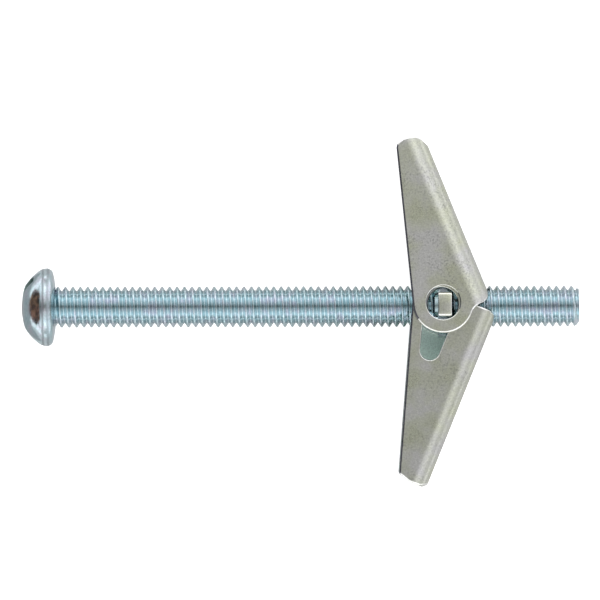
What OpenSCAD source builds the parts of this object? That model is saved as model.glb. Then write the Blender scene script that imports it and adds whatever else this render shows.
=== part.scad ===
// Spring toggle bolt: a fully threaded round-head machine screw, a trunnion nut that runs
// on it, two channel-shaped wings hinged on the nut's trunnions, and a torsion spring that
// holds the wings open.
//
// Frame: the origin is the middle of the head's bearing face. +X runs along the screw
// towards its end, +Y towards the upper wing's tip and +Z up. The wings stand open.

/* [Screw] */
// Major diameter of the thread
shank_d = 7.94; // [6:0.02:10]
// Length under the head
shank_l = 99.3; // [84:0.1:130]
// Thread pitch, 18 turns to the inch
pitch = 1.4111; // [1:0.0001:2]
// Length of the chamfer at the screw's end
end_chamfer = 0.7; // [0.3:0.1:1.5]
// Diameter of the head
head_d = 14.7; // [12.5:0.1:18]
// Height of the head
head_h = 6.45; // [5:0.05:8]
// Diameter of the flat ring that the head bears on
head_flat_d = 10.4; // [10.2:0.1:12]
// Height of the rounded edge under the head's widest place
head_edge_h = 1.6; // [0.8:0.1:2.2]
// Width of the screwdriver slot
drive_w = 2; // [1:0.1:2.4]
// Depth of the screwdriver slot
drive_depth = 2.4; // [1.2:0.1:3]
// Angle of the slot about the screw, from +Y towards +Z
drive_angle = 30; // [0:5:180]

/* [Trunnion nut] */
// Distance of the trunnions from the head's bearing face
nut_x = 73.8; // [45:0.1:90]
// Thickness of the nut along the screw
nut_t = 2.6; // [2:0.1:4]
// Width of the nut's body across the screw
nut_w = 11.6; // [10.5:0.1:13]
// Wall between the thread's top and the body's flat sides
nut_wall = 0.18; // [0.1:0.02:0.6]
// Width of a trunnion
lug_w = 4.7; // [3.6:0.1:5.7]
// How far a trunnion's end lies under the outer wing wall's face
lug_inset = 0.25; // [0:0.05:0.8]
// Height of the collar round the bore, on the head's side
collar_h = 0.6; // [0.2:0.1:1.2]
// Wall of the collar beyond the thread's top
collar_wall = 0.7; // [0.4:0.1:0.8]
// Running clearance of the nut on the screw, on the radius
thread_clearance = 0.05; // [0.02:0.01:0.1]

/* [Wings] */
// Sheet thickness
sheet_t = 1.1; // [0.9:0.05:1.4]
// Outer radius of the bends
bend_r = 3.4; // [2.8:0.1:4]
// Lean of an open wing's back away from square to the screw
lean = 22.1; // [15:0.1:28]
// Clearance of a wing's hole round the trunnion's corners, on the radius
hole_clearance = 0.54; // [0.54:0.02:0.8]
// Gap between two walls that slide on each other
layer_gap = 0.1; // [0.05:0.05:0.3]
// Length of the slot beside the hole in a wing's inner wall, between centres
slot_l = 8.97; // [7:0.1:11]
// Radius of the slot's far end
slot_end_r = 1.87; // [1.4:0.05:2.4]
// Angle of the slot away from the wing's back, towards its open side
slot_angle = -8.4; // [-12:0.2:0]
// Clearance between the screw and the notch that it passes through
notch_clearance = 0.4; // [0.3:0.05:1]
// Radius of the hollow between ear and strip
throat_r = 3; // [2:0.1:4]
// Width of the shallow notch in a wing's back at the tip
tip_notch_w = 6.4; // [4:0.1:8]
// Depth of that notch
tip_notch_d = 2; // [1:0.1:3]

/* [Upper wing] */
// Length from the hinge to the tip, at the bend
upper_l = 31.1; // [25:0.1:38]
// Distance from the hinge to the outer face of the back
upper_s = 8.7; // [8.5:0.05:10.5]
// Angle between the free edge and the back
upper_taper = 16.3; // [12:0.1:18]
// Radius of the ear
upper_ear_r = 5.75; // [5:0.05:5.8]
// How far the strip reaches past the screw's middle, where its bend starts
upper_strip = 0.28; // [0:0.02:0.4]
// Corner radius at the strip's end
upper_strip_r = 1; // [0.5:0.1:3]
// Hinge place from the trunnion, along the screw
upper_slack_x = -0.36; // [-0.4:0.01:0.1]
// Hinge place from the trunnion, across the screw
upper_slack_y = 0.32; // [0:0.01:0.35]
// How much shorter the wing is at its free edge than at its bend
upper_tip_skew = 0.4; // [0:0.1:1.5]
// Corner radius of the tip at the free edge
upper_tip_r = 1.6; // [0.3:0.1:2.2]

/* [Lower wing] */
// Length from the hinge to the tip, at the bend
lower_l = 33.2; // [27:0.1:40]
// Distance from the hinge to the outer face of the back
lower_s = 10.35; // [9.5:0.05:12]
// Angle between the free edge and the back
lower_taper = 17.5; // [13:0.1:19]
// Radius of the ear
lower_ear_r = 5.45; // [5:0.05:5.5]
// How far the strip reaches past the screw's middle, where its bend starts
lower_strip = -0.34; // [-0.6:0.02:-0.2]
// Corner radius at the strip's end
lower_strip_r = 2.5; // [0.5:0.1:3]
// Hinge place from the trunnion, along the screw
lower_slack_x = -0.75; // [-0.75:0.01:0.1]
// Hinge place from the trunnion, across the screw
lower_slack_y = 0.05; // [-0.1:0.01:0.1]
// How much shorter the wing is at its free edge than at its bend
lower_tip_skew = 0.6; // [0:0.1:1.5]
// Corner radius of the tip at the free edge
lower_tip_r = 0.6; // [0.3:0.1:2.2]

/* [Both wings' tips] */
// Corner radius of the tip at the bend
tip_bend_r = 2.6; // [1:0.1:3]

/* [Spring] */
// Diameter of the spring wire
wire_d = 0.7; // [0.5:0.05:0.9]
// Radius of the coils, at the wire's middle
coil_r = 3.6; // [3.4:0.05:4.2]
// Gap between the turns of a coil
turn_gap = 0.03; // [0.01:0.01:0.1]
// Gap above and below a coil
coil_gap = 0.08; // [0.05:0.01:0.2]
// Distance along a wing at which a spring leg bears on its back
leg_reach = 13; // [9:0.5:15]
// Half distance between the two legs where they bear on the wings
leg_half_z = 3.1; // [2:0.1:3.3]
// Gap between a leg and the wing's back
leg_gap = 0.06; // [0.02:0.01:0.2]
// Bend radius of the wire at the bridge between the upper legs
bridge_r = 1.5; // [1:0.1:2]
// Length of a lower leg's end that lies along the wing's back
leg_end_l = 2.5; // [1:0.1:4]

/* [Hidden] */
$fn = 96;
CUT = 1;              // how far a cut runs past the face that it opens
TUCK = 0.001;         // how far an arc and the edge that runs into it overlap, to meet cleanly
CROWN_STEPS = 14;     // points along the head's crown
EDGE_STEPS = 7;       // points along the head's rounded edge
WIRE_SIDES = 8;       // sides of the spring wire
COIL_STEP = 12;       // degrees between rings along a coil
BEND_STEPS = 5;       // rings in each bend of the wire

zinc = [0.66, 0.69, 0.70];
wing_zinc = [0.63, 0.63, 0.59];
steel_wire = [0.55, 0.56, 0.57];

shank_r = shank_d / 2;
head_r = head_d / 2;
head_flat_r = head_flat_d / 2;
wire_r = wire_d / 2;

// Layers across the screw, from its middle out: nut body, coil, inner wall, outer wall
body_z = shank_r + nut_wall;
coil_z = body_z + coil_gap + wire_r;
coil_top_z = coil_z + wire_d + turn_gap;
inner_z = coil_top_z + wire_r + coil_gap;
inner_top_z = inner_z + sheet_t;
outer_z = inner_top_z + layer_gap;
outer_top_z = outer_z + sheet_t;

lug_z = outer_top_z - lug_inset;
hole_r = norm([nut_t, lug_w]) / 2 + hole_clearance;

// A wing's own sizes: length, back, taper, ear, strip, strip corner, hinge x, hinge y, tip
// skew, tip corner. The lower wing is made the upper way round and turned over, so its
// hinge y is reversed. Each strip is as long past the hinge as the wings' lean allows.
UPPER = [upper_l, upper_s, upper_taper, upper_ear_r, upper_strip, upper_strip_r,
         nut_x + upper_slack_x, upper_slack_y, upper_tip_skew, upper_tip_r];
LOWER = [lower_l, lower_s, lower_taper, lower_ear_r, lower_strip, lower_strip_r,
         nut_x + lower_slack_x, -lower_slack_y, lower_tip_skew, lower_tip_r];
function length_of(w) = w[0];
function back_of(w) = w[1];
function taper_of(w) = w[2];
function ear_of(w) = w[3];
function strip_of(w) = (hinge_y_of(w) + (back_of(w) - bend_r) * sin(lean) + w[4]) / cos(lean);
function strip_corner_of(w) = w[5];
function hinge_x_of(w) = w[6];
function hinge_y_of(w) = w[7];
function tip_skew_of(w) = w[8];
function tip_corner_of(w) = w[9];

// ---------------------------------------------------------------- machine screw

// Half outline of the head, as [radius, height above the bearing face]
head_outline = concat(
    [[0, 0]],
    [for (i = [0:EDGE_STEPS])
        let (a = 90 * i / EDGE_STEPS)
        [head_flat_r + (head_r - head_flat_r) * sin(a), head_edge_h * (1 - cos(a))]],
    [for (i = [1:CROWN_STEPS])
        let (a = 90 * i / CROWN_STEPS)
        [head_r * cos(a), head_edge_h + (head_h - head_edge_h) * sin(a)]]);

module screw_head() {
    rotate([0, -90, 0])
        rotate_extrude()
            polygon(head_outline);
}

// The thread is carried as its major diameter, with the chamfered end.
module shank() {
    rotate([0, 90, 0])
        rotate_extrude()
            polygon([
                [0, -head_edge_h],
                [shank_r, -head_edge_h],
                [shank_r, shank_l - end_chamfer],
                [shank_r - end_chamfer, shank_l],
                [0, shank_l]]);
}

module drive_slot() {
    rotate([drive_angle, 0, 0])
        translate([-head_h - CUT, -head_r - CUT, -drive_w / 2])
            cube([drive_depth + CUT, head_d + 2 * CUT, drive_w]);
}

module machine_screw() {
    color(zinc)
        difference() {
            union() {
                screw_head();
                shank();
            }
            drive_slot();
        }
}

// ---------------------------------------------------------------- trunnion nut

module nut_body() {
    translate([nut_x - nut_t / 2, -nut_w / 2, -body_z])
        cube([nut_t, nut_w, 2 * body_z]);
}

module nut_lugs() {
    translate([nut_x - nut_t / 2, -lug_w / 2, -lug_z])
        cube([nut_t, lug_w, 2 * lug_z]);
}

module nut_collar() {
    translate([nut_x - nut_t / 2 - collar_h, 0, 0])
        rotate([0, 90, 0])
            cylinder(r = shank_r + collar_wall, h = collar_h + nut_t / 2);
}

module trunnion_nut() {
    color(zinc)
        difference() {
            union() {
                nut_body();
                nut_lugs();
                nut_collar();
            }
            translate([nut_x - nut_t / 2 - collar_h - CUT, 0, 0])
                rotate([0, 90, 0])
                    cylinder(r = shank_r + thread_clearance, h = nut_t + collar_h + 2 * CUT);
        }
}

// ---------------------------------------------------------------- wings
// A wing's own frame: the hinge is the Z axis, +Y runs along the back to the tip, and +X
// points from the hinge to the back. Its outer wall is at +Z and its inner wall at -Z.

// What a rounding takes off a corner at p, whose two edges leave it in the directions a
// and b. Going from a to b round the outside of the corner is counter-clockwise.
module corner_waste(p, a, b, r) {
    half = acos(a * b) / 2;
    inwards = (a + b) / norm(a + b);
    middle = p + inwards * r / sin(half);
    difference() {
        polygon([middle, p + a * r / tan(half), p - inwards * CUT, p + b * r / tan(half)]);
        translate(middle)
            circle(r + TUCK);
    }
}

// Seen along the hinge: ear, free edge, tip, back and strip
module wing_outline(w) {
    ear = ear_of(w);
    back = back_of(w);
    tip = length_of(w);
    strip = strip_of(w);
    taper = taper_of(w);
    throat_y = -strip - throat_r;
    throat_x = sqrt(pow(ear + throat_r, 2) - throat_y * throat_y);
    free_y = tip - tip_skew_of(w);
    free_corner = [free_y * tan(taper) - ear / cos(taper), free_y];
    bend_start = [back - tip_bend_r, tip];
    difference() {
        union() {
            circle(ear);
            polygon([
                [0, 0], [throat_x, throat_y] * ear / (ear + throat_r), [throat_x, -strip],
                [back, -strip], [back, tip], bend_start,
                free_corner, (ear - TUCK) * [-cos(taper), sin(taper)]]);
        }
        translate([throat_x, throat_y])
            circle(throat_r + TUCK);
        corner_waste([back, tip], [0, -1], [-1, 0], tip_bend_r);
        corner_waste([back, -strip], [-1, 0], [0, 1], strip_corner_of(w));
        corner_waste(free_corner, (bend_start - free_corner) / norm(bend_start - free_corner),
                     [-sin(taper), -cos(taper)], tip_corner_of(w));
    }
}

// Section of the folded sheet, as [x, z]: two walls and the back between them
module channel_half(back, top, r, below) {
    // the solid under one bend, down to the level below
    union() {
        translate([-2 * back, below])
            square([3 * back - r, top - below]);
        translate([-2 * back, below])
            square([3 * back, top - r - below]);
        translate([back - r, top - r])
            circle(r);
    }
}

module channel_section(back) {
    difference() {
        union() {
            channel_half(back, outer_top_z, bend_r, -CUT);
            mirror([0, 1]) channel_half(back, inner_top_z, bend_r, -CUT);
        }
        channel_half(back - sheet_t, outer_z, bend_r - sheet_t, -CUT);
        mirror([0, 1]) channel_half(back - sheet_t, inner_z, bend_r - sheet_t, -CUT);
    }
}

module channel(w) {
    from_y = -ear_of(w) - CUT;
    translate([0, length_of(w) + CUT, 0])
        rotate([90, 0, 0])
            linear_extrude(height = length_of(w) + CUT - from_y)
                channel_section(back_of(w));
}

// Hole and slot of the inner wall: two circles and the wedge that is tangent to both
module keyhole() {
    reach = acos((hole_r - slot_end_r) / slot_l);
    circle(hole_r);
    translate([0, slot_l])
        circle(slot_end_r);
    polygon([
        (hole_r - TUCK) * [cos(90 + reach), sin(90 + reach)],
        (hole_r - TUCK) * [cos(90 - reach), sin(90 - reach)],
        (slot_end_r - TUCK) * [cos(90 - reach), sin(90 - reach)] + [0, slot_l],
        (slot_end_r - TUCK) * [cos(90 + reach), sin(90 + reach)] + [0, slot_l]]);
}

// The height along a wing's back at which the back just clears the screw
function notch_top(w) =
    (shank_r + notch_clearance - hinge_y_of(w) - (back_of(w) - sheet_t) * sin(lean)) / cos(lean);

module screw_notch(w) {
    r = shank_r + notch_clearance;
    translate([back_of(w) - bend_r, notch_top(w) - r, 0])
        rotate([0, 90, 0]) {
            cylinder(r = r, h = bend_r + CUT);
            translate([-r, -length_of(w), 0])
                cube([2 * r, length_of(w), bend_r + CUT]);
        }
}

module tip_notch(w) {
    middle_z = (outer_top_z - inner_top_z) / 2;
    translate([back_of(w) - bend_r, length_of(w) - tip_notch_d, middle_z - tip_notch_w / 2])
        cube([bend_r + CUT, tip_notch_d + CUT, tip_notch_w]);
}

module wing(w) {
    difference() {
        intersection() {
            channel(w);
            translate([0, 0, -inner_top_z - CUT])
                linear_extrude(height = inner_top_z + outer_top_z + 2 * CUT)
                    wing_outline(w);
        }
        cylinder(r = hole_r, h = outer_top_z + CUT);
        rotate([0, 0, slot_angle])
            translate([0, 0, -inner_top_z - CUT])
                linear_extrude(height = inner_top_z + CUT)
                    keyhole();
        screw_notch(w);
        tip_notch(w);
    }
}

module placed_wing(w) {
    translate([hinge_x_of(w), hinge_y_of(w), 0])
        rotate([0, 0, lean])
            wing(w);
}

module wing_upper() {
    color(wing_zinc)
        placed_wing(UPPER);
}

module wing_lower() {
    color(wing_zinc)
        rotate([180, 0, 0])
            placed_wing(LOWER);
}

// ---------------------------------------------------------------- torsion spring
// One wire: a lower leg, a coil round the front trunnion, an upper leg, the bridge across
// the upper wing's back, and the same again behind. It bears on the inside of both backs.

// A point of a wing's own frame, in the row's frame
function on_wing(w, x, y) = [
    hinge_x_of(w) + x * cos(lean) - y * sin(lean),
    hinge_y_of(w) + x * sin(lean) + y * cos(lean)];
function turned_over(p) = [p[0], -p[1]];
function bearing_x(w) = back_of(w) - sheet_t - wire_r - leg_gap;

coil_at = [nut_x, 0];
upper_bearing = on_wing(UPPER, bearing_x(UPPER), leg_reach);
lower_bearing = turned_over(on_wing(LOWER, bearing_x(LOWER), leg_reach));
lower_end = turned_over(on_wing(LOWER, bearing_x(LOWER), leg_reach + leg_end_l));

function angle_to(p) = atan2(p[1] - coil_at[1], p[0] - coil_at[0]);
function swing_to(p) = acos(coil_r / norm(p - coil_at));
coil_from = angle_to(lower_bearing) + swing_to(lower_bearing);
coil_to = 360 + angle_to(upper_bearing) - swing_to(upper_bearing);

function coil_point(a) = [
    coil_at[0] + coil_r * cos(a),
    coil_at[1] + coil_r * sin(a),
    coil_z + (coil_top_z - coil_z) * (a - coil_from) / (coil_to - coil_from)];

// A bend of the wire: a smooth turn at p, between the directions from a and to b
function bend(a, p, b, r) =
    let (from = (a - p) / norm(a - p), to = (b - p) / norm(b - p))
    [for (i = [0:BEND_STEPS])
        let (t = i / BEND_STEPS)
        p + from * r * (1 - t) * (1 - t) + to * r * t * t];

leg_foot = [upper_bearing[0], upper_bearing[1], leg_half_z];
leg_foot_behind = [upper_bearing[0], upper_bearing[1], -leg_half_z];
lower_foot = [lower_bearing[0], lower_bearing[1], leg_half_z];
lower_tail = [lower_end[0], lower_end[1], leg_half_z];
coil_turns = ceil((coil_to - coil_from) / COIL_STEP);

front_wire = concat(
    [lower_tail],
    bend(lower_tail, lower_foot, coil_point(coil_from), wire_d),
    [for (i = [0:coil_turns]) coil_point(coil_from + (coil_to - coil_from) * i / coil_turns)],
    bend(coil_point(coil_to), leg_foot, leg_foot_behind, bridge_r));
wire = concat(front_wire,
    [for (i = [len(front_wire) - 1:-1:0])
        [front_wire[i][0], front_wire[i][1], -front_wire[i][2]]]);

// Rings of the swept wire: each ring's side direction is the last one's, turned no more
// than the wire itself turns
function unit(v) = v / norm(v);
function wire_direction(i) =
    unit(wire[min(i + 1, len(wire) - 1)] - wire[max(i - 1, 0)]);
function square_to(side, along) = unit(side - along * (side * along));
wire_sides = [for (i = 0, side = square_to([0, 0, 1], wire_direction(0));
                   i < len(wire);
                   i = i + 1, side = i < len(wire) ? square_to(side, wire_direction(i)) : side)
    side];
wire_skin = [for (i = [0:len(wire) - 1])
    let (side = wire_sides[i], other = cross(wire_direction(i), side))
    for (k = [0:WIRE_SIDES - 1])
        let (a = 360 * k / WIRE_SIDES)
        wire[i] + wire_r * (side * cos(a) + other * sin(a))];
wire_faces = concat(
    [[for (k = [0:WIRE_SIDES - 1]) k]],
    [for (i = [0:len(wire) - 2], k = [0:WIRE_SIDES - 1])
        let (a = i * WIRE_SIDES + k, b = i * WIRE_SIDES + (k + 1) % WIRE_SIDES)
        [a, a + WIRE_SIDES, b + WIRE_SIDES, b]],
    [[for (k = [WIRE_SIDES - 1:-1:0]) (len(wire) - 1) * WIRE_SIDES + k]]);

module torsion_spring() {
    color(steel_wire)
        polyhedron(wire_skin, wire_faces);
}

machine_screw();
trunnion_nut();
wing_upper();
wing_lower();
torsion_spring();
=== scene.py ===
"""Looks of a spring toggle bolt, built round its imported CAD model.

The bolt is a fully threaded slotted round-head machine screw that carries a trunnion nut,
and two channel-shaped wings that a torsion spring holds open. Lengths are in metres.
"""

import math

import bpy
from mathutils import Matrix, Vector


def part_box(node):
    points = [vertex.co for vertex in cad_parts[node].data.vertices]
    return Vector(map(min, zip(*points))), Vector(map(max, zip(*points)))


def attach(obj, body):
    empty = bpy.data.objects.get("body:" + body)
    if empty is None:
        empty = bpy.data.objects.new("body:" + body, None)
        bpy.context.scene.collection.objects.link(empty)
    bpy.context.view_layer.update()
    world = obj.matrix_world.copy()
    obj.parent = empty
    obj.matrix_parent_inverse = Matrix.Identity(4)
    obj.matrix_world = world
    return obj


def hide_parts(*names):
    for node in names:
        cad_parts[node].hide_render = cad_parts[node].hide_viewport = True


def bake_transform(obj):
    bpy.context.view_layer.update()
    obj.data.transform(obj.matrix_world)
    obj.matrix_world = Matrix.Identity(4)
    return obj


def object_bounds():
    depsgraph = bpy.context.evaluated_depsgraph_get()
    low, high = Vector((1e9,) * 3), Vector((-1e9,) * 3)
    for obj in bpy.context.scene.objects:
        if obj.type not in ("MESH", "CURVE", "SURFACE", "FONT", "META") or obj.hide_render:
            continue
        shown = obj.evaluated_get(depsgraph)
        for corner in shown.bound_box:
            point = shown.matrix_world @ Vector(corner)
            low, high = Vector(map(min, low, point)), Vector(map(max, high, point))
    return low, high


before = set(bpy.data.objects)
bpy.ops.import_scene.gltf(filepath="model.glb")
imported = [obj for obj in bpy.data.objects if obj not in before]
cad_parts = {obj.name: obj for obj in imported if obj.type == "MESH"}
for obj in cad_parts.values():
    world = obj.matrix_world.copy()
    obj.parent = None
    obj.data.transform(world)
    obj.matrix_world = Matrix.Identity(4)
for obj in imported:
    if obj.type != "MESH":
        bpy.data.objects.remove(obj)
cad_low, cad_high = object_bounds()
MM = 0.001

# ------------------------------------------------------------------ table, tent and camera
# A white table under a tent of lit white cloth, with a light box on each side, at +Y and -Y,
# a window at +X, and less light from the roof and from the door at -X. The camera sees
# through the cloth to the white world behind it.


def linear(hex_colour):
    """An sRGB hex colour as linear red, green, blue and an alpha of 1."""
    parts = [int(hex_colour[i:i + 2], 16) / 255 for i in (1, 3, 5)]
    light = [p / 12.92 if p <= 0.04045 else ((p + 0.055) / 1.055) ** 2.4 for p in parts]
    return (*light, 1.0)


def add_node(tree, kind, inputs=None, **settings):
    """A node of that kind, with its settings and what each input holds or is fed by."""
    node = tree.nodes.new(kind)
    for name, value in settings.items():
        setattr(node, name, value)
    for key, value in (inputs or {}).items():
        if isinstance(value, bpy.types.NodeSocket):
            tree.links.new(value, node.inputs[key])
        else:
            node.inputs[key].default_value = value
    return node


scene = bpy.context.scene
scene.view_settings.view_transform = "Standard"


def flat_sheet(name, size, place, turn=(0, 0, 0)):
    """A flat rectangle of this size about a place, as part of the set."""
    bpy.ops.object.select_all(action="DESELECT")
    bpy.ops.mesh.primitive_plane_add(size=1, location=place, rotation=turn)
    sheet = bpy.context.object
    sheet.name = name
    sheet.scale = (size[0], size[1], 1)
    bpy.ops.object.transform_apply(location=True, rotation=True, scale=True)
    return sheet


def set_material(name):
    """An empty material for part of the set."""
    material = bpy.data.materials.new(name)
    material.use_nodes = True
    material.node_tree.nodes.clear()
    return material, material.node_tree


# Matt white paper is plain to the eye, and its glow keeps it white where the light falls off.
table = flat_sheet("table", (6, 6), (0.05, 0, cad_low.z - 0.05 * MM))
paper, tree = set_material("white_paper_sweep")
rays = add_node(tree, "ShaderNodeLightPath")
seen = add_node(tree, "ShaderNodeMath", {
    0: rays.outputs["Is Camera Ray"], 1: rays.outputs["Is Glossy Ray"]}, operation="MAXIMUM")
seen = add_node(tree, "ShaderNodeMath", {
    0: seen.outputs[0], 1: rays.outputs["Is Transmission Ray"]}, operation="MAXIMUM")
matt = add_node(tree, "ShaderNodeBsdfDiffuse", {"Color": linear("#E6E6E6")})
glow = add_node(tree, "ShaderNodeEmission", {"Color": linear("#FFFFFF"), "Strength": 0.75})
bright = add_node(tree, "ShaderNodeAddShader", {0: matt.outputs[0], 1: glow.outputs[0]})
mixed = add_node(tree, "ShaderNodeMixShader", {
    0: seen.outputs[0], 1: matt.outputs[0], 2: bright.outputs[0]})
add_node(tree, "ShaderNodeOutputMaterial", {"Surface": mixed.outputs[0]})
table.data.materials.append(paper)

# Cards round the bolt, which only metal sees, keep its sides from washing out. The brown one
# stands on edge past the head, which shows it as a blotchy brown patch.
pale_card = flat_sheet("pale_card", (0.20, 0.11), (0.065, 0, cad_low.z + 0.1 * MM))
# The grey card is painted shade: a darker sheet for the shaded table past the head, as metal sees
# it.
painted_shade_card = flat_sheet("painted_shade_card", (0.062, 0.036), (-0.039, 0, cad_low.z + 0.2 * MM))
brown_card = flat_sheet("brown_card", (0.052, 0.090), (-0.070, 0, cad_low.z + 26 * MM),
                        (0, math.pi / 2, 0))
for card in (pale_card, painted_shade_card, brown_card):
    card.visible_camera = False
    card.visible_diffuse = False
    card.visible_shadow = False
for card, grey in ((pale_card, "#E6E6E4"), (painted_shade_card, "#B4B4B4")):
    board, tree = set_material("matt_" + card.name)
    matt = add_node(tree, "ShaderNodeBsdfDiffuse", {"Color": linear(grey)})
    add_node(tree, "ShaderNodeOutputMaterial", {"Surface": matt.outputs[0]})
    card.data.materials.append(board)
board, tree = set_material("blotchy_brown_card")
place = add_node(tree, "ShaderNodeTexCoord")
blotch = add_node(tree, "ShaderNodeTexNoise", {
    "Vector": place.outputs["Object"], "Scale": 70.0, "Detail": 2.0})
brown = add_node(tree, "ShaderNodeValToRGB", {"Fac": blotch.outputs["Fac"]})
dark, light = brown.color_ramp.elements
dark.position, dark.color = 0.44, linear("#2E2726")
light.position, light.color = 0.66, linear("#B08066")
matt = add_node(tree, "ShaderNodeBsdfDiffuse", {"Color": brown.outputs["Color"]})
add_node(tree, "ShaderNodeOutputMaterial", {"Surface": matt.outputs[0]})
brown_card.data.materials.append(board)

# The tent's cloth glows by where it hangs, so metal shows soft bands from bright to dark. Each
# row is how far towards the box or the window, the light there, and its blue against its red.
TENT_R = 2.5
BOX_LIGHT = ((0.06, 0.32, 0.96), (0.15, 0.50, 0.98), (0.30, 0.76, 1.00), (0.50, 0.96, 1.02),
             (0.70, 1.34, 1.03), (0.84, 1.66, 1.02), (0.94, 1.05, 1.00))
WINDOW_LIGHT = ((0.15, 0.0, 1.12), (0.38, 0.14, 1.12), (0.58, 0.40, 1.12),
                (0.72, 0.28, 1.12), (0.90, 0.03, 1.12))
bpy.ops.mesh.primitive_uv_sphere_add(segments=96, ring_count=48, radius=TENT_R)
tent = bpy.context.object
tent.name = "tent"
tent.visible_camera = False
cloth, tree = set_material("lit_tent_cloth")
tent.data.materials.append(cloth)
place = add_node(tree, "ShaderNodeTexCoord")
toward = add_node(tree, "ShaderNodeVectorMath", {
    0: place.outputs["Object"], 1: (1 / TENT_R,) * 3}, operation="MULTIPLY")
toward = add_node(tree, "ShaderNodeSeparateXYZ", {0: toward.outputs[0]})
sideways = add_node(tree, "ShaderNodeMath", {0: toward.outputs["Y"]}, operation="ABSOLUTE")
boxes = add_node(tree, "ShaderNodeValToRGB", {"Fac": sideways.outputs[0]})
for across, light, blue in BOX_LIGHT:
    boxes.color_ramp.elements.new(across).color = (light, light, light * blue, 1)
boxes.color_ramp.elements[0].color = (0.21, 0.21, 0.20, 1)
boxes.color_ramp.elements[-1].color = (0.75, 0.75, 0.75, 1)
window = add_node(tree, "ShaderNodeValToRGB", {"Fac": toward.outputs["X"]})
for along, light, blue in WINDOW_LIGHT:
    window.color_ramp.elements.new(along).color = (light, light * 0.98, light * blue, 1)
window.color_ramp.elements[0].color = (0, 0, 0, 1)
window.color_ramp.elements[-1].color = (0, 0, 0, 1)
lit = add_node(tree, "ShaderNodeMixRGB", {
    "Fac": 1.0, "Color1": boxes.outputs["Color"], "Color2": window.outputs["Color"]},
    blend_type="ADD")
low = add_node(tree, "ShaderNodeMapRange", {
    "Value": toward.outputs["Z"], "From Min": 0.0, "From Max": 0.6, "To Min": 0.66,
    "To Max": 1.0})
lit = add_node(tree, "ShaderNodeMixRGB", {
    "Fac": 1.0, "Color1": lit.outputs["Color"], "Color2": low.outputs["Result"]},
    blend_type="MULTIPLY")
door = add_node(tree, "ShaderNodeMath", {
    0: toward.outputs["X"], 1: sideways.outputs[0]}, operation="ADD")
door = add_node(tree, "ShaderNodeMapRange", {
    "Value": door.outputs[0], "From Min": -0.50, "From Max": -0.10, "To Min": 0.55,
    "To Max": 1.0})
lit = add_node(tree, "ShaderNodeMixRGB", {
    "Fac": 1.0, "Color1": lit.outputs["Color"], "Color2": door.outputs["Result"]},
    blend_type="MULTIPLY")
shine = add_node(tree, "ShaderNodeEmission", {"Color": lit.outputs["Color"], "Strength": 1.3})
add_node(tree, "ShaderNodeOutputMaterial", {"Surface": shine.outputs[0]})

# The plain white world is what the camera sees past the tent's cloth.
world = bpy.data.worlds.new("white_world")
scene.world = world
world.use_nodes = True
tree = world.node_tree
tree.nodes.clear()
white = add_node(tree, "ShaderNodeBackground", {"Color": linear("#FFFFFF"), "Strength": 1.0})
add_node(tree, "ShaderNodeOutputWorld", {"Surface": white.outputs[0]})

# The camera looks almost straight down, with the screw level across its view.
VIEW_WIDTH = 113.83 * MM     # of the frame, at the screw's axis
CAMERA_AWAY = 1500 * MM
CAMERA_ELEVATION = math.radians(86.7)
VIEW_TURN = math.radians(-0.12)
aim = Vector((46.4, 1.28, 0)) * MM
sight = Vector((0, math.cos(CAMERA_ELEVATION), -math.sin(CAMERA_ELEVATION)))
right = Vector((1, 0, 0))
up = right.cross(sight)
right, up = (right * math.cos(VIEW_TURN) + up * math.sin(VIEW_TURN),
             up * math.cos(VIEW_TURN) - right * math.sin(VIEW_TURN))
bpy.ops.object.camera_add()
camera = bpy.context.object
camera.matrix_world = Matrix((
    (right.x, up.x, -sight.x, aim.x - sight.x * CAMERA_AWAY),
    (right.y, up.y, -sight.y, aim.y - sight.y * CAMERA_AWAY),
    (right.z, up.z, -sight.z, aim.z - sight.z * CAMERA_AWAY),
    (0, 0, 0, 1)))
camera.data.lens = camera.data.sensor_width * CAMERA_AWAY / VIEW_WIDTH
camera.data.clip_start, camera.data.clip_end = 0.01, 10
scene.camera = camera

# ------------------------------------------------------------------ machine screw
# A 5/16-18 round-head screw of low-carbon steel, cold-headed and slotted, with its thread
# rolled right up to the head, then plated with clear bright zinc.

PITCH = 1.4111 * MM
SCREW_LENGTH = 99.3 * MM
CREST_R = 3.90 * MM
ROOT_R = 3.10 * MM
FIRST_CREST = 0.49 * MM      # where the crest crosses the +Y side, from the head's seat
SLOT_WIDTH = 2.0 * MM
SLOT_FLOOR = -4.05 * MM
SLOT_TURN = math.radians(30)
IN_HEAD = 0.4 * MM           # the shank starts this far inside the head
POINT_LONG = 1.46 * MM       # the end is chamfered over this length
BLANK_R, POINT_R = 4.2 * MM, 3.27 * MM
NEAR = 0.01 * MM             # how far off a place may be and still count as there
MERGED = 0.001 * MM          # points this close are made one
THREAD_STEPS, HEAD_STEPS = 56, 144       # to each turn
# How the thread rounds off, in mm from the middle of a crest or a root and from its radius.
HALF_CREST = ((0.0, 0.0), (0.07, 0.012), (0.13, 0.048), (0.18, 0.105))
HALF_ROOT = ((0.11, 0.05), (0.06, 0.012), (0.0, 0.0))


def pick(kind, test):
    """Selects, in edit mode, only the edges or only the faces that pass the test."""
    bpy.ops.mesh.select_mode(type=kind)
    bpy.ops.mesh.select_all(action="DESELECT")
    bpy.ops.object.mode_set(mode="OBJECT")
    mesh = bpy.context.object.data
    for part in {"EDGE": mesh.edges, "FACE": mesh.polygons}[kind]:
        part.select = bool(test(part))
    bpy.ops.object.mode_set(mode="EDIT")
    bpy.ops.mesh.select_mode(type=kind)


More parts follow.
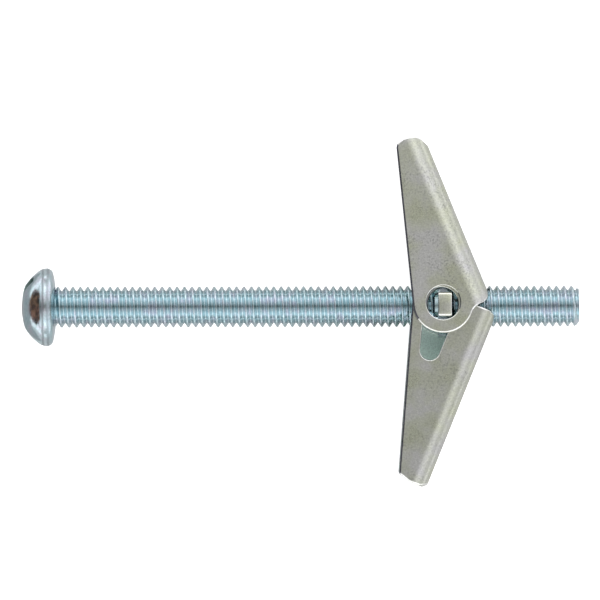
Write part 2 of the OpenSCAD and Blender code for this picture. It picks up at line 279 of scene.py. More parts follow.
def open_edges():
    """The edges of the edited mesh that have only one face, as pairs of vertex numbers."""
    bpy.ops.object.mode_set(mode="OBJECT")
    mesh = bpy.context.object.data
    uses = {}
    for face in mesh.polygons:
        for key in face.edge_keys:
            uses[key] = uses.get(key, 0) + 1
    bpy.ops.object.mode_set(mode="EDIT")
    return {key for key, count in uses.items() if count == 1}


def pick_open(test):
    """Selects the open edges whose both ends pass the test."""
    loose = open_edges()
    where = bpy.context.object.data.vertices
    pick("EDGE", lambda e: tuple(sorted(e.vertices)) in loose
         and all(test(where[v].co) for v in e.vertices))


def grow(factor, move=(0, 0, 0), about=(0, 0, 0)):
    """Extrudes what is selected, moves the new part and scales it about a point."""
    bpy.ops.mesh.extrude_region_move(TRANSFORM_OT_translate={"value": move})
    bpy.ops.transform.resize(value=factor, center_override=about)


def apply_modifier(piece, kind, **settings):
    """Adds a modifier to a piece with these settings, and applies it."""
    modifier = piece.modifiers.new(kind.lower(), kind)
    for name, value in settings.items():
        setattr(modifier, name, value)
    bpy.context.view_layer.objects.active = piece
    bpy.ops.object.modifier_apply(modifier=modifier.name)


def combine(piece, other, operation):
    """Joins, cuts or intersects a piece with another, which is used up."""
    apply_modifier(piece, "BOOLEAN", object=other, operation=operation, solver="MANIFOLD")
    bpy.data.objects.remove(other)


def start_piece(name):
    """The object that was just added becomes the named piece, with its place in its mesh."""
    piece = bpy.context.object
    piece.name = name
    piece.data.name = name
    bpy.ops.object.transform_apply(location=True, rotation=True, scale=True)
    return piece


def bare_mesh(name, points, edges=(), faces=()):
    """A new object of these points, edges and faces, selected and active."""
    mesh = bpy.data.meshes.new(name)
    mesh.from_pydata(points, edges, faces)
    piece = bpy.data.objects.new(name, mesh)
    scene.collection.objects.link(piece)
    bpy.ops.object.select_all(action="DESELECT")
    piece.select_set(True)
    bpy.context.view_layer.objects.active = piece
    return piece


def outline_of(name, points):
    """A line through these (x, radius) points, to be turned round the X axis."""
    return bare_mesh(name, [(x, r, 0) for x, r in points],
                     [(i, i + 1) for i in range(len(points) - 1)])


def thread_rod(name, extra_r, first, last):
    """A closed rod with the thread's shape from x first to last, made wider by extra_r."""
    half_crest = [(x * MM, CREST_R - drop * MM) for x, drop in HALF_CREST]
    half_root = [(PITCH / 2 - x * MM, ROOT_R + rise * MM) for x, rise in HALF_ROOT]
    rise = half_crest + half_root
    turn = rise + [(PITCH - x, r) for x, r in reversed(rise[:-1])]
    turns_back = math.ceil((FIRST_CREST - first) / PITCH) + 1
    start = FIRST_CREST - turns_back * PITCH
    turns = math.ceil((last - start) / PITCH) + 1
    rod = outline_of(name, [(start + x, r + extra_r) for x, r in turn])
    apply_modifier(rod, "SCREW", axis="X", angle=2 * math.pi, screw_offset=PITCH,
                   iterations=turns, steps=THREAD_STEPS, render_steps=THREAD_STEPS)
    bpy.ops.object.mode_set(mode="EDIT")
    bpy.ops.mesh.select_all(action="SELECT")
    bpy.ops.mesh.remove_doubles(threshold=4 * MERGED)
    middle = (first + last) / 2
    for end, side in ((start + PITCH / 2, lambda p: p.x < middle),
                      (start + (turns - 0.5) * PITCH, lambda p: p.x > middle)):
        pick_open(side)
        grow((0, 0, 0), about=(end, 0, 0))
        bpy.ops.mesh.remove_doubles(threshold=MERGED)
    bpy.ops.mesh.select_all(action="SELECT")
    bpy.ops.mesh.normals_make_consistent(inside=False)
    bpy.ops.object.mode_set(mode="OBJECT")
    return rod


screw = thread_rod("screw_body", 0.0, -IN_HEAD, SCREW_LENGTH)
bpy.ops.object.select_all(action="DESELECT")
point_start = SCREW_LENGTH - POINT_LONG
bpy.ops.mesh.primitive_cylinder_add(vertices=96, radius=BLANK_R, depth=point_start + IN_HEAD,
                                    location=((point_start - IN_HEAD) / 2, 0, 0),
                                    rotation=(0, math.pi / 2, 0))
blank = start_piece("screw_blank")
bpy.ops.object.mode_set(mode="EDIT")
pick("FACE", lambda f: f.center.x > point_start - NEAR)
grow((1, POINT_R / BLANK_R, POINT_R / BLANK_R), move=(POINT_LONG, 0, 0))
bpy.ops.object.mode_set(mode="OBJECT")
combine(screw, blank, "INTERSECT")

# The crown meets the rim in a faint crease, where the heading die ends.
HEAD_OUTLINE_MM = (
    (-6.42, 0.0), (-6.41, 0.5), (-6.38, 1.0), (-6.32, 1.5), (-6.25, 1.95), (-6.16, 2.5),
    (-6.05, 3.05), (-5.95, 3.46), (-5.85, 3.78), (-5.68, 4.15), (-5.49, 4.45), (-5.30, 4.72),
    (-5.11, 4.98), (-4.92, 5.22), (-4.73, 5.45), (-4.54, 5.66), (-4.35, 5.86), (-4.16, 6.04),
    (-3.97, 6.21), (-3.78, 6.38), (-3.59, 6.54), (-3.40, 6.70), (-3.21, 6.84), (-3.02, 6.97),
    (-2.83, 7.09), (-2.62, 7.19), (-2.55, 7.22), (-2.50, 7.235), (-2.26, 7.285), (-2.12, 7.325),
    (-2.00, 7.37), (-1.90, 7.385), (-1.76, 7.378), (-1.65, 7.395), (-1.45, 7.385), (-1.28, 7.335),
    (-1.10, 7.26), (-0.93, 7.18), (-0.78, 7.09), (-0.66, 6.98), (-0.56, 6.84), (-0.46, 6.60),
    (-0.37, 6.30), (-0.27, 5.85), (-0.18, 5.35), (-0.08, 4.70), (0.0, 4.0), (0.0, 2.0))
head = outline_of("screw_head", [(x * MM, r * MM) for x, r in HEAD_OUTLINE_MM])
apply_modifier(head, "SCREW", axis="X", angle=2 * math.pi, steps=HEAD_STEPS,
               render_steps=HEAD_STEPS, use_merge_vertices=True, merge_threshold=MERGED)
bpy.ops.object.mode_set(mode="EDIT")
pick_open(lambda p: True)
bpy.ops.mesh.edge_face_add()
bpy.ops.mesh.select_all(action="SELECT")
bpy.ops.mesh.remove_doubles(threshold=MERGED)
bpy.ops.mesh.normals_make_consistent(inside=False)
bpy.ops.object.mode_set(mode="OBJECT")

# The driver slot is sawn straight across the crown.
SAW = (4 * MM, 20 * MM, SLOT_WIDTH)
bpy.ops.object.select_all(action="DESELECT")
bpy.ops.mesh.primitive_cube_add(size=1, location=(SLOT_FLOOR - SAW[0] / 2, 0, 0),
                                rotation=(SLOT_TURN, 0, 0), scale=SAW)
combine(head, start_piece("slot_saw"), "DIFFERENCE")
combine(screw, head, "UNION")


SPECK, SPECK_PATCH = 0.42 * MM, 5.5 * MM     # sizes of the dark specks and of their patches


def plated_steel(name, tints, haze_mm, grain_mm, gloss, bump_mm, specks=0.0):
    """Metallic plating: hazy tints of this size, a fine grain, and patches of dark specks."""
    material = bpy.data.materials.new(name)
    material.use_nodes = True
    tree = material.node_tree
    tree.nodes.clear()
    place = add_node(tree, "ShaderNodeTexCoord")
    haze = add_node(tree, "ShaderNodeTexNoise", {
        "Vector": place.outputs["Object"], "Scale": 1 / (haze_mm * MM), "Detail": 3.0,
        "Roughness": 0.6})
    grain = add_node(tree, "ShaderNodeTexNoise", {
        "Vector": place.outputs["Object"], "Scale": 1 / (grain_mm * MM), "Detail": 2.0,
        "Roughness": 0.7})
    tint = add_node(tree, "ShaderNodeValToRGB", {"Fac": haze.outputs["Fac"]})
    ramp = tint.color_ramp.elements
    ramp[0].position, ramp[0].color = 0.36, linear(tints[0])
    ramp[1].position, ramp[1].color = 0.64, linear(tints[2])
    ramp.new(0.5).color = linear(tints[1])
    fleck = add_node(tree, "ShaderNodeMapRange", {
        "Value": grain.outputs["Fac"], "From Min": 0.3, "From Max": 0.7, "To Min": 0.80,
        "To Max": 1.08})
    colour = add_node(tree, "ShaderNodeMixRGB", {
        "Fac": 1.0, "Color1": tint.outputs["Color"], "Color2": fleck.outputs["Result"]},
        blend_type="MULTIPLY")
    if specks:
        spot = add_node(tree, "ShaderNodeTexNoise", {
            "Vector": place.outputs["Object"], "Scale": 1 / SPECK, "Detail": 1.0})
        spot = add_node(tree, "ShaderNodeMapRange", {
            "Value": spot.outputs["Fac"], "From Min": 0.53, "From Max": 0.68})
        patch = add_node(tree, "ShaderNodeTexNoise", {
            "Vector": place.outputs["Object"], "Scale": 1 / SPECK_PATCH, "Detail": 1.0})
        patch = add_node(tree, "ShaderNodeMapRange", {
            "Value": patch.outputs["Fac"], "From Min": 0.48, "From Max": 0.64, "To Min": 0.10,
            "To Max": specks})
        dark = add_node(tree, "ShaderNodeMath", {
            0: spot.outputs["Result"], 1: patch.outputs["Result"]}, operation="MULTIPLY")
        colour = add_node(tree, "ShaderNodeMixRGB", {
            "Fac": dark.outputs[0], "Color1": colour.outputs["Color"],
            "Color2": linear("#6E6F6C")})
    dull = add_node(tree, "ShaderNodeMapRange", {
        "Value": haze.outputs["Fac"], "From Min": 0.35, "From Max": 0.65, "To Min": gloss[0],
        "To Max": gloss[1]})
    uneven = add_node(tree, "ShaderNodeBump", {
        "Height": grain.outputs["Fac"], "Strength": 1.0, "Distance": bump_mm * MM})
    metal = add_node(tree, "ShaderNodeBsdfPrincipled", {
        "Base Color": colour.outputs["Color"], "Metallic": 1.0,
        "Roughness": dull.outputs["Result"], "Normal": uneven.outputs["Normal"]})
    add_node(tree, "ShaderNodeOutputMaterial", {"Surface": metal.outputs["BSDF"]})
    return material


# Clear bright zinc is glossy and faintly blue, with a passing violet or grey tinge.
BRIGHT_TINTS = ("#AFC6CC", "#B8CBD0", "#BFC7D1")
BRIGHT_GLOSS = (0.12, 0.20)
bright_zinc = plated_steel("clear_bright_zinc", BRIGHT_TINTS, haze_mm=2.2, grain_mm=0.35,
                           gloss=BRIGHT_GLOSS, bump_mm=0.004)

# Inside the sawn slot the zinc is dull, and painted darker and greener as painted shade in the
# recess.
slot_painted_shade = plated_steel("slot_zinc_painted_shade", ("#8FA8A4", "#A4BAB6", "#B4C4C2"), haze_mm=0.8,
                         grain_mm=0.35, gloss=(0.34, 0.46), bump_mm=0.010)

# Two dull, slightly darker rings are painted round the rim, as painted shade for the dark streaks
# that its curves reflect.
# Each shade goes with its x in mm, and the rings waver a little along the screw.
RING_START, RING_END = -3.0 * MM, -0.6 * MM
RING_WAVER = 0.45 * MM
RING_SHADES = ((-2.62, 1.0), (-2.44, 0.66), (-2.30, 0.50), (-2.12, 0.62), (-1.96, 0.95),
               (-1.66, 0.95), (-1.48, 0.66), (-1.32, 0.58), (-1.12, 0.72), (-0.90, 0.97))
RIM_LEAST_R = 6.5 * MM
rim_painted_shade_rings = plated_steel("rim_zinc_painted_shade_rings", BRIGHT_TINTS, haze_mm=2.2, grain_mm=0.35,
                           gloss=BRIGHT_GLOSS, bump_mm=0.004)
tree = rim_painted_shade_rings.node_tree
metal = tree.nodes["Principled BSDF"]
place = add_node(tree, "ShaderNodeTexCoord")
along = add_node(tree, "ShaderNodeSeparateXYZ", {0: place.outputs["Object"]})
waver = add_node(tree, "ShaderNodeTexNoise", {
    "Vector": place.outputs["Object"], "Scale": 1 / (2.6 * MM), "Detail": 3.0})
along = add_node(tree, "ShaderNodeMath", {
    0: waver.outputs["Fac"], 1: RING_WAVER, 2: along.outputs["X"]}, operation="MULTIPLY_ADD")
along = add_node(tree, "ShaderNodeMapRange", {
    "Value": along.outputs["Value"], "From Min": RING_START + RING_WAVER / 2,
    "From Max": RING_END + RING_WAVER / 2})
rings = add_node(tree, "ShaderNodeValToRGB", {"Fac": along.outputs["Result"]})
for x, shade in RING_SHADES:
    spot = (x * MM - RING_START) / (RING_END - RING_START)
    rings.color_ramp.elements.new(spot).color = (min(1.0, shade * 1.05), shade, shade, 1)
rings.color_ramp.elements[0].color = (1, 1, 1, 1)
shaded = add_node(tree, "ShaderNodeMixRGB", {
    "Fac": 1.0, "Color1": metal.inputs["Base Color"].links[0].from_socket,
    "Color2": rings.outputs["Color"]}, blend_type="MULTIPLY")
dulled = add_node(tree, "ShaderNodeMapRange", {
    "Value": rings.outputs["Color"], "From Min": 0.46, "From Max": 0.95, "To Min": 0.42,
    "To Max": 0.16})
tree.links.new(shaded.outputs["Color"], metal.inputs["Base Color"])
tree.links.new(dulled.outputs["Result"], metal.inputs["Roughness"])


SMOOTH_BELOW = math.radians(35)


def finish_piece(piece, materials, body):
    """Gives a piece its materials and smooth faces, and hangs it on its CAD body, if any."""
    bpy.ops.object.select_all(action="DESELECT")
    piece.select_set(True)
    bpy.context.view_layer.objects.active = piece
    bpy.ops.object.shade_smooth_by_angle(angle=SMOOTH_BELOW)
    kinds = [face.material_index for face in piece.data.polygons]
    piece.data.materials.clear()
    for material in materials:
        piece.data.materials.append(material)
    piece.data.polygons.foreach_set("material_index", kinds)
    if body:
        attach(piece, body)


across_slot = Vector((0, -math.sin(SLOT_TURN), math.cos(SLOT_TURN)))
for face in screw.data.polygons:
    centre = face.center
    if centre.x < SLOT_FLOOR + NEAR and abs(centre.dot(across_slot)) < SLOT_WIDTH / 2 + NEAR:
        face.material_index = 1
    elif RING_START < centre.x < RING_END and centre.yz.length > RIM_LEAST_R:
        face.material_index = 2
finish_piece(screw, (bright_zinc, slot_painted_shade, rim_painted_shade_rings), "screw")
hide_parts("machine_screw")


# ------------------------------------------------------------------ wings
# Each wing is one blank of 1.1 mm cold-rolled steel, pierced and cut out, then folded into
# a channel over a former, so its outer edges are rolled and its inner ones are sharp. The
# lower wing is turned over and a little larger. Both are barrel plated in satin zinc.

SHEET = 1.1 * MM
LEAN = math.radians(22.1)
UPPER_HINGE = Vector((73.44, 0.32, 0)) * MM
LOWER_HINGE = Vector((73.05, 0.05, 0)) * MM
UPPER_BACK, LOWER_BACK = 8.7 * MM, 10.35 * MM      # from a wing's hinge to its web's outside
OUTER_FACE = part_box("wing_upper")[1].z
INNER_FACE = -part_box("wing_upper")[0].z
WEB_MIDDLE = (OUTER_FACE - INNER_FACE) / 2
HOLE_R = 3.226 * MM
THROAT_R = 3.0 * MM          # between a wall's ear and the strip beside the screw
SLOT_LONG = 8.97 * MM
SLOT_END_R = 1.87 * MM
SLOT_TILT = math.radians(-8.4)
SCREW_NOTCH_R = 4.37 * MM
TIP_CORNER_R = 0.5 * MM
TIP_INSET = 0.75 * MM        # from a wall's free corner to where the tip's bulge is full
BULGE_END = 0.85             # share of the fold's length at which the bulge ends
FOLD_STEPS = 12
ROLLED = 0.34 * MM           # radius of the outer edges, which the punch rolled over
PIERCED = 0.17 * MM          # radius of the edges of the holes and the slot
BURRED = 0.08 * MM           # radius of the edges on the burr's side
FLAT = 0.985                 # a face of the blank is flat if its normal's z is at least this
PAINTED_SHADE_WITHIN = math.radians(28)        # of a long edge's own direction
THROUGH = 3 * SHEET          # thickness of what cuts the sheet

# Half of the tip's notch, by the share of the fold's length and by mm past the wing's length.
TIP_NOTCH = ((0.0, -2.3), (0.16, -2.3), (0.30, -1.6), (0.45, -0.6), (0.63, 0.12), (0.95, 0.50),
             (1.0, 2))
# What is cut off a corner of the strip beside the screw, by mm from its middle and from its end.
STRIP_CORNER = ((2.8, 2.35), (3.4, 2.05), (4.0, 1.6), (4.45, 1.1), (4.9, 0.62), (5.4, 0.28),
                (6.0, 0.08), (6.6, -0.01), (6.6, -1.0), (2.8, -1.0))


def prism(name, corners, thickness):
    """A straight-sided plate about z = 0 with these (x, y) corners, counter-clockwise."""
    plate = bare_mesh(name, [(x, y, -thickness / 2) for x, y in corners],
                      faces=[range(len(corners))])
    bpy.ops.object.mode_set(mode="EDIT")
    bpy.ops.mesh.select_all(action="SELECT")
    bpy.ops.mesh.extrude_region_move(TRANSFORM_OT_translate={"value": (0, 0, thickness)})
    bpy.ops.mesh.select_all(action="SELECT")
    bpy.ops.mesh.normals_make_consistent(inside=False)
    bpy.ops.object.mode_set(mode="OBJECT")
    return plate


def disc(name, centre, radius, thickness, sides=96):
    """A round plate about z = 0."""
    bpy.ops.object.select_all(action="DESELECT")
    bpy.ops.mesh.primitive_cylinder_add(vertices=sides, radius=radius, depth=thickness,
                                        location=(centre[0], centre[1], 0))
    return start_piece(name)


def round_edges(piece, radius, segments, test):
    """Rounds the edges of a piece that pass the test."""
    bpy.context.view_layer.objects.active = piece
    bpy.ops.object.mode_set(mode="EDIT")
    pick("EDGE", test)
    bpy.ops.mesh.bevel(offset=radius, offset_type="OFFSET", segments=segments, affect="EDGES",
                       clamp_overlap=False)
    bpy.ops.object.mode_set(mode="OBJECT")


def round_corner(plate, corner, radius):
    """Rounds the upright edge of a plate that stands at this corner."""
    where = plate.data.vertices
    round_edges(plate, radius, 4, lambda e: all(
        (where[v].co.xy - Vector(corner)).length < 2 * NEAR for v in e.vertices))


def roll_edges(plate, level, radius, segments, test):
    """Rounds the edges between the flat face of a plate at this level and its sides, where an
    end of the edge passes the test."""
    sides = {}
    for face in plate.data.polygons:
        for key in face.edge_keys:
            sides.setdefault(key, []).append(abs(face.normal.z) > 0.9)
    where = plate.data.vertices
    round_edges(plate, radius, segments, lambda e: (
        sorted(sides[tuple(sorted(e.vertices))]) == [False, True]
        and all(abs(where[v].co.z - level) < NEAR / 2 for v in e.vertices)
        and test(where[e.vertices[0]].co)))


def cut_slot(blank, hole):
    """Cuts the tapered slot that runs out of the hole at this place, and gives its far end."""
    reach = math.acos((HOLE_R - SLOT_END_R) / SLOT_LONG)
    line = math.pi / 2 + SLOT_TILT
    end = Vector((math.cos(line), math.sin(line))) * SLOT_LONG + hole
    sides = []
    for turn in (-reach, reach):
        out = Vector((math.cos(line + turn), math.sin(line + turn)))
        sides.append((out * (HOLE_R - NEAR) + hole, out * SLOT_END_R + end))
    (near_a, far_a), (near_b, far_b) = sides
    corners = [tuple(place) for place in (near_a, far_a, far_b, near_b)]
    combine(blank, prism("slot", corners, THROUGH), "DIFFERENCE")
    combine(blank, disc("slot_end", end, SLOT_END_R, THROUGH, 64), "DIFFERENCE")
    return end


def fold_up(blank, web_half, fold_mid_r, fold_long, bend_at, hinge, over):
    """Folds both walls of a flat blank up from its web, and leans it open at its hinge."""
    turn_in = Matrix.Rotation(LEAN, 3, "Z")
    for vertex in blank.data.vertices:
        across, along, depth = vertex.co
        side = 1 if across > 0 else -1
        past_web = max(0.0, abs(across) - web_half)
        fold = min(past_web, fold_long) / fold_mid_r
        wall = max(0.0, past_web - fold_long)
        place = turn_in @ Vector((
            bend_at + (fold_mid_r + depth) * math.cos(fold) - wall,
            along,
            WEB_MIDDLE + side * (min(abs(across), web_half)
                                 + (fold_mid_r + depth) * math.sin(fold))))
        vertex.co = Vector((place.x, place.y * over, place.z * over)) + hinge


def wing(name, hinge, back, over, length, taper, ear_r, strip, bend_r, free_corner, bulge,
         notch_share, narrower, shorter):
    """One wing: its flat blank, then the two folds. over is -1 for the wing turned over. The
    wall that lies on the table is a little narrower or shorter than the other."""
    fold_mid_r = bend_r - SHEET / 2
    fold_long = fold_mid_r * math.pi / 2
    web_half = (OUTER_FACE + INNER_FACE) / 2 - bend_r
    wall_at = web_half + fold_long + back - bend_r     # of the hinge, from the blank's middle
    sin, cos = math.sin(taper), math.cos(taper)
    throat_y = -strip - THROAT_R
    throat_x = math.sqrt((ear_r + THROAT_R) ** 2 - throat_y ** 2)
    meets = ear_r / (ear_r + THROAT_R)

    def wall_edge(side):
        """A wall's edge from its ear to the tip's rounded end, and the ear's radius."""
        hidden = side == -over
        edge_r = ear_r - narrower * hidden
        tip_y = length - shorter * hidden
        corner_y = tip_y - free_corner
        corner_x = wall_at + (edge_r - corner_y * sin) / cos
        edge = [(wall_at, 0), (wall_at + edge_r * cos, edge_r * sin), (corner_x, corner_y),
                (corner_x - TIP_INSET, corner_y + bulge),
                (web_half + fold_long + 0.25 * MM, tip_y + bulge),
                (web_half + BULGE_END * fold_long, tip_y + bulge)]
        return [(side * x, y) for x, y in edge], edge_r

    (right_edge, right_r), (left_edge, left_r) = wall_edge(1), wall_edge(-1)
    root = [(wall_at - throat_x, -strip), (wall_at - throat_x * meets, throat_y * meets)]
    outline = right_edge + left_edge[::-1] + [(-x, y) for x, y in reversed(root)] + root
    blank = prism(name, outline, SHEET)
    for side, edge, edge_r in ((1, right_edge, right_r), (-1, left_edge, left_r)):
        throat = (side * (wall_at - throat_x), throat_y)
        round_corner(blank, edge[2], TIP_CORNER_R)
        combine(blank, disc("ear", (side * wall_at, 0), edge_r, SHEET, 128), "UNION")
        combine(blank, disc("throat", throat, THROAT_R, THROUGH, 72), "DIFFERENCE")
        combine(blank, disc("hole", (side * wall_at, 0), HOLE_R, THROUGH), "DIFFERENCE")

    # The tip is notched between the folds, and its ends curve up round them.
    notch = [(web_half + share * fold_long, length + (y if y > 0 else y * notch_share) * MM)
             for share, y in TIP_NOTCH]
    notch += [(-x, y) for x, y in reversed(notch)]
    combine(blank, prism("tip_notch", notch, THROUGH), "DIFFERENCE")

    # The notch at the root lets the open wing stand round the screw.
    above_screw = SCREW_NOTCH_R - over * hinge.y - (back - SHEET) * math.sin(LEAN)
    notch_at = above_screw / math.cos(LEAN) - SCREW_NOTCH_R
    combine(blank, disc("screw_notch", (0, notch_at), SCREW_NOTCH_R, THROUGH), "DIFFERENCE")
    for side in (-1, 1):
        corner = [(side * x * MM, y * MM - strip) for x, y in STRIP_CORNER]
        combine(blank, prism("strip_corner", corner, THROUGH), "DIFFERENCE")

    inner_hole = Vector((-wall_at, 0))
    slot_end = cut_slot(blank, inner_hole)
    bpy.ops.object.mode_set(mode="EDIT")
    bpy.ops.mesh.select_all(action="SELECT")
    bpy.ops.mesh.remove_doubles(threshold=3 * MERGED)
    bpy.ops.mesh.select_all(action="SELECT")
    bpy.ops.mesh.dissolve_limited(angle_limit=math.radians(0.5))
    bpy.ops.object.mode_set(mode="OBJECT")

    inside_cuts = [Vector((wall_at, 0)), inner_hole] + [
        slot_end.lerp(inner_hole, share / 4) for share in range(4)]

    def pierced(place):
        """Whether a place is on the edge of a hole or of the slot."""
        return any((place.xy - cut).length < HOLE_R + 5 * NEAR for cut in inside_cuts)

    roll_edges(blank, SHEET / 2, PIERCED, 3, pierced)
    roll_edges(blank, SHEET / 2, ROLLED, 4, lambda place: not pierced(place))
    roll_edges(blank, -SHEET / 2, BURRED, 2, lambda place: True)
    bpy.ops.object.mode_set(mode="EDIT")
    for side in (-1, 1):
        for step in range(FOLD_STEPS + 1):
            across = side * (web_half + fold_long * step / FOLD_STEPS)
            bpy.ops.mesh.select_all(action="SELECT")
            bpy.ops.mesh.bisect(plane_co=(across, 0, 0), plane_no=(1, 0, 0), threshold=MERGED)
    bpy.ops.object.mode_set(mode="OBJECT")

    # Material 0 is the outside, 1 a punched edge with a painted highlight, 2 the inside with
    # painted light and 3 the sheared long edge with painted shade.
    for face in blank.data.polygons:
        face.material_index = 0 if face.normal.z > 0 else 2
        if abs(face.normal.z) < FLAT:
            out = face.normal.xy.normalized()
            long_edge = abs(out.x) * cos + out.y * sin > math.cos(PAINTED_SHADE_WITHIN)
            painted_shade_edge = long_edge and out.x * face.center.x > 0 and not pierced(face.center)
            face.material_index = 3 if painted_shade_edge else 1
    fold_up(blank, web_half, fold_mid_r, fold_long, back - bend_r, hinge, over)
    return blank


upper = wing("upper_wing_sheet", UPPER_HINGE, UPPER_BACK, over=1, length=31.1 * MM,
             taper=math.radians(16.3), ear_r=5.75 * MM, strip=2.8 * MM, bend_r=3.8 * MM,
             free_corner=0.2 * MM, bulge=0.45 * MM, notch_share=0.85, narrower=0.34 * MM,
             shorter=0.0)
lower = wing("lower_wing_sheet", LOWER_HINGE, LOWER_BACK, over=-1, length=33.2 * MM,
             taper=math.radians(17.5), ear_r=5.45 * MM, strip=2.4 * MM, bend_r=3.2 * MM,
             free_corner=0.5 * MM, bulge=0.15 * MM, notch_share=0.3, narrower=0.0,
             shorter=0.5 * MM)

# Zinc on the rougher sheet is satin, and its thin passivation drifts from straw to violet.
SATIN_GLOSS = (0.27, 0.33)
satin_zinc = plated_steel("satin_zinc_on_sheet", ("#C4C7B3", "#C5C7BB", "#C5C5C3"), haze_mm=6.0,
                          grain_mm=0.30, gloss=SATIN_GLOSS, bump_mm=0.014, specks=0.45)
# The lower wing gets a greyer copy of the same satin zinc, as painted shade on it.
satin_zinc_painted_shade = plated_steel("lower_satin_zinc_painted_shade", ("#BFC2B0", "#C0C2B7", "#C0C0BE"), haze_mm=6.0,
                           grain_mm=0.30, gloss=SATIN_GLOSS, bump_mm=0.012, specks=0.35)

# The punch burnishes the edges that it rolls over, so they are glossier, and their paler colour is
# a painted highlight for thin bright lines.
burnish_and_painted_highlight = plated_steel("rolled_edge_burnish_and_painted_highlight", ("#E0E1D9", "#E4E5E0", "#E4E4E4"), haze_mm=6.0,
                         grain_mm=0.30, gloss=(0.15, 0.20), bump_mm=0.004)

# The inside of the fold is dull, and painted a pale, cold green-grey as painted light, for the
# light that reaches it there.
inside_fold_painted_light = plated_steel("inside_fold_zinc_painted_light", ("#DDF0E9", "#DFF1EA", "#E2F1EC"), haze_mm=6.0,
                           grain_mm=0.30, gloss=(0.50, 0.58), bump_mm=0.004)

# The long edges were sheared from the strip, and their dark colour is painted shade along them.
long_edge_painted_shade = plated_steel("long_edge_zinc_painted_shade", ("#62636C", "#6A6B73", "#70717A"), haze_mm=3.0,
                             grain_mm=0.30, gloss=(0.26, 0.34), bump_mm=0.006)

for piece, outside, node, body in ((upper, satin_zinc, "wing_upper", "upper_wing"),
                                   (lower, satin_zinc_painted_shade, "wing_lower", "lower_wing")):
    finish_piece(piece, (outside, burnish_and_painted_highlight, inside_fold_painted_light, long_edge_painted_shade), body)
    apply_modifier(piece, "WEIGHTED_NORMAL", keep_sharp=True, weight=100)
    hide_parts(node)


# ------------------------------------------------------------------ trunnion nut
# A nut pressed from 2.6 mm strip steel: a flat body tapped 5/16-18, drawn out into a low
# collar on one side, with two sheared lugs that the wings hinge on. Clear bright zinc.

NUT_X = 73.8 * MM
NUT_THICK = 2.6 * MM
NUT_WIDE = 11.6 * MM
NUT_DEEP = 8.3 * MM
LUG_WIDE = 4.7 * MM
LUG_TIP = 7.79 * MM
COLLAR_R = 4.67 * MM
COLLAR_HIGH = 0.6 * MM
LUG_CORNER_R = 0.62 * MM
SHEARED_R = 0.22 * MM        # of the nut's long edges
LUG_END = 0.7 * MM           # how much of a lug's end is satin or burnished
THREAD_CLEAR = 0.04 * MM     # between the screw's thread and the nut's


def block(name, centre, size):
    """A box of this size about a place."""
    bpy.ops.object.select_all(action="DESELECT")
    bpy.ops.mesh.primitive_cube_add(size=1, location=centre, scale=size)
    return start_piece(name)


nut = block("pressed_nut", (NUT_X, 0, 0), (NUT_THICK, NUT_WIDE, NUT_DEEP))
combine(nut, block("lugs", (NUT_X, 0, 0), (NUT_THICK, LUG_WIDE, 2 * LUG_TIP)), "UNION")

# Shearing rolls the long edges a little, and the lugs' end corners a lot.
where = nut.data.vertices
round_edges(nut, LUG_CORNER_R, 4, lambda e: (
    all(abs(abs(where[v].co.z) - LUG_TIP) < NEAR for v in e.vertices)
    and abs(where[e.vertices[0]].co.y - where[e.vertices[1]].co.y) < NEAR))
where = nut.data.vertices
round_edges(nut, SHEARED_R, 2, lambda e: (
    abs(where[e.vertices[0]].co.x - where[e.vertices[1]].co.x) < NEAR))

collar_long = COLLAR_HIGH + NUT_THICK / 2
bpy.ops.object.select_all(action="DESELECT")
bpy.ops.mesh.primitive_cylinder_add(vertices=96, radius=COLLAR_R, depth=collar_long,
                                    location=(NUT_X - collar_long / 2, 0, 0),
                                    rotation=(0, math.pi / 2, 0))
combine(nut, start_piece("collar"), "UNION")
combine(nut, thread_rod("tap", THREAD_CLEAR, NUT_X - 4 * MM, NUT_X + 3 * MM), "DIFFERENCE")

# The lugs' sheared ends are satin, and the corners round them burnished, with a painted highlight
# in their paler colour.
for face in nut.data.polygons:
    if abs(face.center.z) > LUG_TIP - LUG_END:
        face.material_index = 1 if abs(face.normal.z) > 0.97 else 2
finish_piece(nut, (bright_zinc, satin_zinc, burnish_and_painted_highlight), "nut")
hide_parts("trunnion_nut")


# ------------------------------------------------------------------ torsion spring
# One length of 0.7 mm spring wire: a coil round each trunnion, legs out to the inside of
# each wing's back, and a bridge that joins the upper legs.

WIRE_R = 0.35 * MM
COIL_R = 3.6 * MM
COIL_IN_Z = 4.58 * MM
COIL_OUT_Z = 5.31 * MM
LEG_Z = 3.1 * MM
LEG_REACH = 13 * MM
LEG_TAIL = 2.5 * MM
LEG_GAP = 0.15 * MM          # between a leg and the sheet that it bears on
COIL_STEPS, LEG_STEPS, BEND_STEPS = 48, 10, 6
BRIDGE_BEND = 1.5 * MM
TAIL_BEND = 0.7 * MM


def leg_foot(hinge, back, over, reach):
    """Where a leg bears on the inside of a wing's back, that far along it."""
    across = back - SHEET - WIRE_R - LEG_GAP
    return Vector((hinge.x + across * math.cos(LEAN) - reach * math.sin(LEAN),
                   hinge.y + over * (across * math.sin(LEAN) + reach * math.cos(LEAN))))


def bare_angle(point, side):
    """The angle round the coil at which a straight leg from a point runs onto it."""
    out = point - Vector((NUT_X, 0))
    return math.atan2(out.y, out.x) + side * math.acos(COIL_R / out.length)


upper_foot = leg_foot(UPPER_HINGE, UPPER_BACK, 1, LEG_REACH)
lower_foot = leg_foot(LOWER_HINGE, LOWER_BACK, -1, LEG_REACH)
lower_tail = leg_foot(LOWER_HINGE, LOWER_BACK, -1, LEG_REACH + LEG_TAIL)
coil_from = bare_angle(lower_foot, 1)
coil_to = 2 * math.pi + bare_angle(upper_foot, -1)


def on_coil(share):
    """A point of the front coil's wire, from its lower leg's end to its upper leg's."""
    turn = coil_from + (coil_to - coil_from) * share
    return Vector((NUT_X + COIL_R * math.cos(turn), COIL_R * math.sin(turn),
                   COIL_IN_Z + (COIL_OUT_Z - COIL_IN_Z) * share))


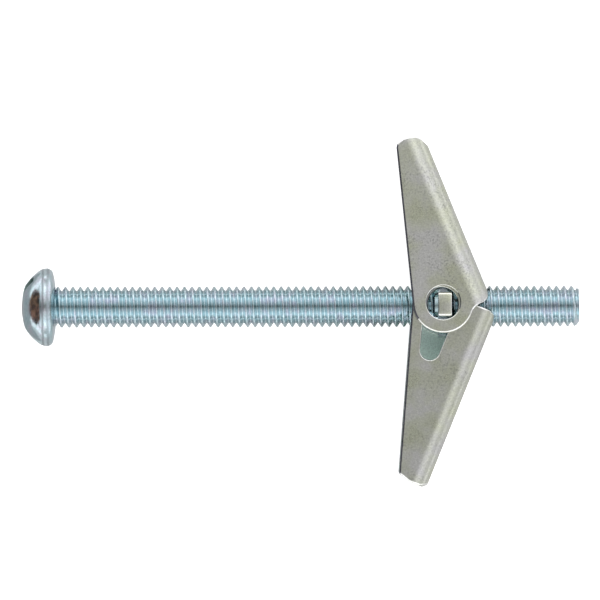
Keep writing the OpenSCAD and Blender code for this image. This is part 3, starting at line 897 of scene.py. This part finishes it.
def smooth_corner(before, corner, after, radius):
    """Points that turn smoothly at a corner, between what comes before and after it."""
    back_way, on_way = (before - corner).normalized(), (after - corner).normalized()
    shares = [i / BEND_STEPS for i in range(BEND_STEPS + 1)]
    return [corner + back_way * radius * (1 - share) ** 2 + on_way * radius * share ** 2
            for share in shares]


def bent_wire(name, runs):
    """Round wire along each run of points, as one piece."""
    line = bpy.data.curves.new(name, "CURVE")
    line.dimensions = "3D"
    line.bevel_depth = WIRE_R
    line.bevel_resolution = 3
    line.use_fill_caps = True
    for run in runs:
        spline = line.splines.new("POLY")
        spline.points.add(len(run) - 1)
        for point, place in zip(spline.points, run):
            point.co = (*place, 1)
    wire = bpy.data.objects.new(name, line)
    scene.collection.objects.link(wire)
    bpy.ops.object.select_all(action="DESELECT")
    wire.select_set(True)
    bpy.context.view_layer.objects.active = wire
    bpy.ops.object.convert(target="MESH")
    bpy.ops.object.mode_set(mode="EDIT")
    bpy.ops.mesh.select_all(action="SELECT")
    bpy.ops.mesh.remove_doubles(threshold=MERGED)
    bpy.ops.mesh.normals_make_consistent(inside=False)
    bpy.ops.object.mode_set(mode="OBJECT")
    return wire


def behind(run):
    """The same run at the back of the nut."""
    return [Vector((p.x, p.y, -p.z)) for p in run]


def even_run(start, end):
    """A straight run in even steps."""
    return [start.lerp(end, i / LEG_STEPS) for i in range(LEG_STEPS + 1)]


coil = [on_coil(i / COIL_STEPS) for i in range(COIL_STEPS + 1)]
coils = bent_wire("spring_coils", [coil, behind(coil)])
foot, foot_behind = Vector((*upper_foot, LEG_Z)), Vector((*upper_foot, -LEG_Z))
turn_at_foot = smooth_corner(coil[-1], foot, foot_behind, BRIDGE_BEND)
half_bridge = even_run(coil[-1], turn_at_foot[0]) + turn_at_foot[1:]
upper_legs = bent_wire("spring_upper_legs", [half_bridge + behind(half_bridge)[::-1]])
foot, tail = Vector((*lower_foot, LEG_Z)), Vector((*lower_tail, LEG_Z))
turn_at_foot = smooth_corner(coil[0], foot, tail, TAIL_BEND)
lower_leg = even_run(coil[0], turn_at_foot[0]) + turn_at_foot[1:] + [tail]
lower_legs = bent_wire("spring_lower_legs", [lower_leg, behind(lower_leg)])

# Drawn spring wire is darker than the plated sheet, with its die marks worn to a soft shine.
wire_steel = plated_steel("drawn_spring_wire", ("#A5A49E", "#ACACA9", "#A9ABB1"), haze_mm=1.5,
                          grain_mm=0.25, gloss=(0.26, 0.36), bump_mm=0.003)
for piece in (coils, upper_legs, lower_legs):
    finish_piece(piece, (wire_steel,), None)
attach(coils, "nut")
for piece, start, end, body in ((upper_legs, coil[-1], upper_foot, "upper_wing"),
                                (lower_legs, coil[0], lower_foot, "lower_wing")):
    start = Vector((start.x, start.y, 0))
    along = (Vector((end.x, end.y, 0)) - start).normalized()
    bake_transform(piece)
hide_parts("torsion_spring")
